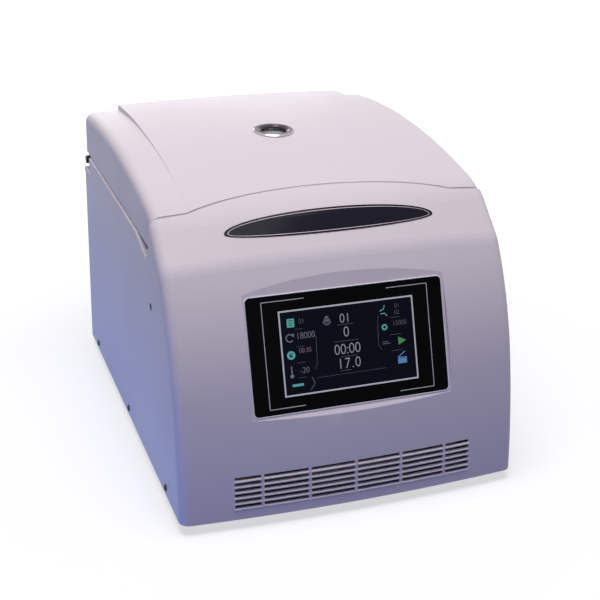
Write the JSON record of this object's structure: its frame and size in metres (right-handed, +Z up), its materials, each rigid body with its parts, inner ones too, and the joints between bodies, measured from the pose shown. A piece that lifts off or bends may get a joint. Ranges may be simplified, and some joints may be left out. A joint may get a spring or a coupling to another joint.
{
  "type": "refrigerated microcentrifuge",
  "caption": "Refrigerated bench microcentrifuge: bowed housing with sloping touch display, vented foot, hinged crowned lid with sight glass, cooled bowl and fixed-angle rotor.",
  "frame": {"origin": "on the bench under the middle of the machine with its hinge barrel", "axes": "+X to the operator's right, +Y from the front to the back, +Z up"},
  "size_m": [0.379, 0.4785, 0.3328],
  "materials": {
    "painted_shell": "satin off-white",
    "badge": "gloss black",
    "display_glass": "gloss black",
    "sheet_steel": "satin",
    "deck_plastic": "satin light grey",
    "rubber": "matt black",
    "screw_steel": "blackened",
    "black_plastic": "satin black",
    "stainless": "brushed",
    "chrome": "polished",
    "clear": "clear",
    "rotor_metal": "satin",
    "knob_plastic": "satin black",
    "copper": "bare copper",
    "foam": "rigid foam",
    "motor_paint": "satin grey",
    "compressor_paint": "black enamel",
    "fins": "bare",
    "boards": "lacquered board",
    "supply_case": "pressed case"
  },
  "bodies": {
    "housing": {"lower_housing": "painted_shell", "base_plate": "sheet_steel", "rubber_feet": "rubber", "housing_screws": "screw_steel", "rear_panel": "sheet_steel", "rear_panel_screws": "screw_steel", "power_inlet": "black_plastic", "switch_frame": "black_plastic", "top_deck": "deck_plastic", "chamber_bowl": "stainless", "bowl_seal": "rubber", "evaporator_coil": "copper", "chamber_insulation": "foam", "drive_motor": "motor_paint", "motor_mount_plate": "sheet_steel", "motor_dampers": "rubber", "motor_seal": "rubber", "compressor": "compressor_paint", "compressor_mounts": "rubber", "condenser": "fins", "fan_shroud": "sheet_steel", "fan_frame": "black_plastic", "filter_drier": "copper", "copper_lines": "copper", "electronics_bracket": "sheet_steel", "main_board": "boards", "inverter_module": "fins", "power_supply": "supply_case", "hinge_pins": "stainless", "lock_body": "black_plastic", "lid_bumpers": "rubber", "release_bush": "black_plastic", "display_panel": "display_glass", "lcd_module": "boards", "display_board": "boards", "badge_plate": "badge"},
    "lid": {"lid_shell": "painted_shell", "lid_liner": "deck_plastic", "lid_dome": "deck_plastic", "lid_insulation": "foam", "sight_tube": "deck_plastic", "lower_window": "clear", "sight_ring": "chrome", "sight_glass": "clear", "liner_screws": "screw_steel", "lid_hinge_arms": "rotor_metal", "lid_striker": "stainless"},
    "rotor": {"motor_shaft": "stainless", "rotor": "rotor_metal"},
    "knob": {"rotor_knob": "knob_plastic"},
    "fan": {"fan_impeller": "black_plastic"},
    "rocker": {"power_rocker": "black_plastic"},
    "bolt": {"lock_bolt": "stainless"}
  },
  "joints": [
    {"name": "lid_hinge", "type": "hinge", "parent": "housing", "child": "lid", "pos_m": [0, 0.23275, 0.2555], "axis": [-1, 0, 0], "range_deg": [0, 75]},
    {"name": "rotor_spin", "type": "hinge", "parent": "housing", "child": "rotor", "pos_m": [0, 0.05525, 0.17], "axis": [0, 0, 1], "continuous": true},
    {"name": "knob_turn", "type": "hinge", "parent": "rotor", "child": "knob", "pos_m": [0, 0.05525, 0.22], "axis": [0, 0, 1], "continuous": true},
    {"name": "fan_spin", "type": "hinge", "parent": "housing", "child": "fan", "pos_m": [-0.045, -0.17975, 0.061], "axis": [0, 1, 0], "continuous": true},
    {"name": "power_switch", "type": "hinge", "parent": "housing", "child": "rocker", "pos_m": [0.11, 0.22875, 0.102], "axis": [1, 0, 0], "range_deg": [0, 16]},
    {"name": "lock_slide", "type": "slide", "parent": "housing", "child": "bolt", "axis": [-1, 0, 0], "range_m": [0, 0.014]}
  ]
}
